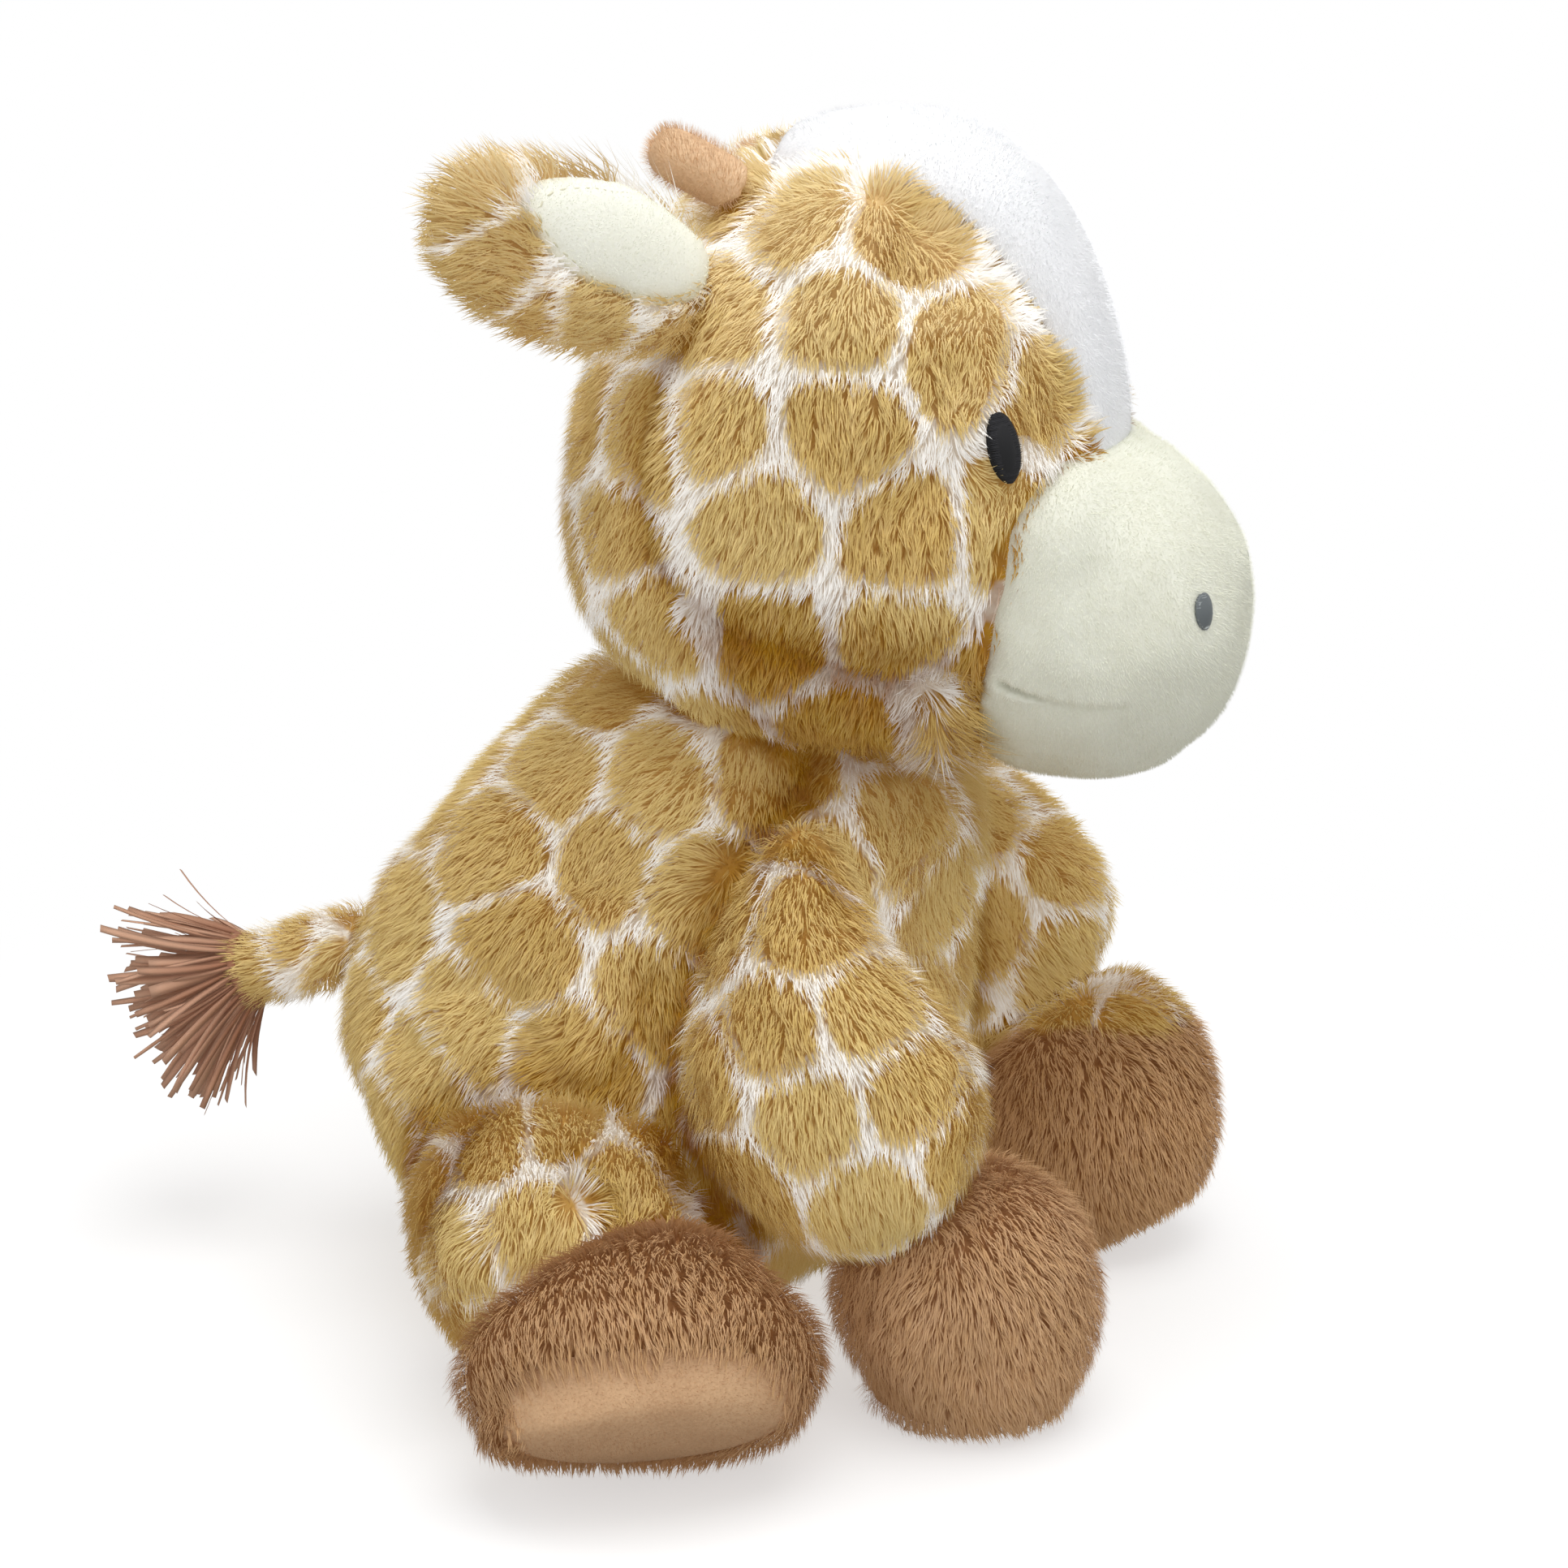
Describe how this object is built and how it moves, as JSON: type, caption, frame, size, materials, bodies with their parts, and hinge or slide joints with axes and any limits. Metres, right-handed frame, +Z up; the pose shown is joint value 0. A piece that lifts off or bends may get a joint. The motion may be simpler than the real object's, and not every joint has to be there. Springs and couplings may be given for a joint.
{
  "type": "plush giraffe",
  "caption": "Seated stuffed giraffe with long patterned fur, smooth muzzle and blaze, horns, folding ears, soft legs ending in hooves, and a tail with a felt tassel.",
  "frame": {"origin": "on the floor under the toy, in the middle of its flat seat from side to side", "axes": "the animal faces -Y, its right side is -X, +Z is up"},
  "size_m": [0.2962, 0.291, 0.2968],
  "materials": {
    "giraffe_fur": "long pile printed with giraffe patches",
    "cream_plush": "short pile",
    "white_plush": "short pile",
    "peach_plush": "short pile",
    "brown_fur": "long pile",
    "tan_sole": "short napped knit",
    "brown_felt": "cut felt strips",
    "black_thread": "satin stitch embroidery",
    "grey_thread": "satin stitch embroidery"
  },
  "bodies": {
    "trunk": {"body": "giraffe_fur"},
    "head_group": {"head": "giraffe_fur", "muzzle": "cream_plush", "blaze": "white_plush", "horn_right": "peach_plush", "horn_left": "peach_plush", "eye_right": "black_thread", "eye_left": "black_thread", "nostril_right": "grey_thread", "nostril_left": "grey_thread"},
    "tail_group": {"tail": "giraffe_fur", "tassel": "brown_felt"},
    "ear_group_right": {"ear_right": "giraffe_fur", "ear_lining_right": "cream_plush"},
    "front_limb_right": {"front_leg_right": "giraffe_fur", "front_hoof_right": "brown_fur", "front_sole_right": "tan_sole"},
    "rear_limb_right": {"rear_leg_right": "giraffe_fur", "rear_hoof_right": "brown_fur", "rear_sole_right": "tan_sole"},
    "ear_group_left": {"ear_left": "giraffe_fur", "ear_lining_left": "cream_plush"},
    "front_limb_left": {"front_leg_left": "giraffe_fur", "front_hoof_left": "brown_fur", "front_sole_left": "tan_sole"},
    "rear_limb_left": {"rear_leg_left": "giraffe_fur", "rear_hoof_left": "brown_fur", "rear_sole_left": "tan_sole"}
  },
  "joints": [
    {"name": "neck_nod", "type": "hinge", "parent": "trunk", "child": "head_group", "pos_m": [0, -0.006, 0.126], "axis": [1, 0, 0], "range_deg": [-10, 10], "stiffness_Nm_per_rad": 2},
    {"name": "front_leg_swing_right", "type": "hinge", "parent": "trunk", "child": "front_limb_right", "pos_m": [-0.05, -0.038, 0.124], "axis": [-1, 0, 0], "range_deg": [0, 20], "stiffness_Nm_per_rad": 0.3},
    {"name": "rear_leg_lift_right", "type": "hinge", "parent": "trunk", "child": "rear_limb_right", "pos_m": [-0.044, 0.03, 0.05], "axis": [-0.454, 0.891, 0], "range_deg": [0, 12], "stiffness_Nm_per_rad": 0.3},
    {"name": "ear_fold_right", "type": "hinge", "parent": "head_group", "child": "ear_group_right", "pos_m": [-0.052, -0.003, 0.262], "axis": [0.3104, -0.228, 0.9229], "range_deg": [-12, 12], "stiffness_Nm_per_rad": 0.03},
    {"name": "front_leg_swing_left", "type": "hinge", "parent": "trunk", "child": "front_limb_left", "pos_m": [0.05, -0.038, 0.124], "axis": [-1, 0, 0], "range_deg": [0, 20], "stiffness_Nm_per_rad": 0.3},
    {"name": "rear_leg_lift_left", "type": "hinge", "parent": "trunk", "child": "rear_limb_left", "pos_m": [0.044, 0.03, 0.05], "axis": [-0.454, -0.891, 0], "range_deg": [0, 12], "stiffness_Nm_per_rad": 0.3},
    {"name": "ear_fold_left", "type": "hinge", "parent": "head_group", "child": "ear_group_left", "pos_m": [0.052, -0.003, 0.262], "axis": [-0.5074, 0.228, -0.831], "range_deg": [-12, 12], "stiffness_Nm_per_rad": 0.03},
    {"name": "tail_lift", "type": "hinge", "parent": "trunk", "child": "tail_group", "pos_m": [0, 0.092, 0.082], "axis": [1, 0, 0], "range_deg": [-12, 12], "stiffness_Nm_per_rad": 0.03}
  ]
}
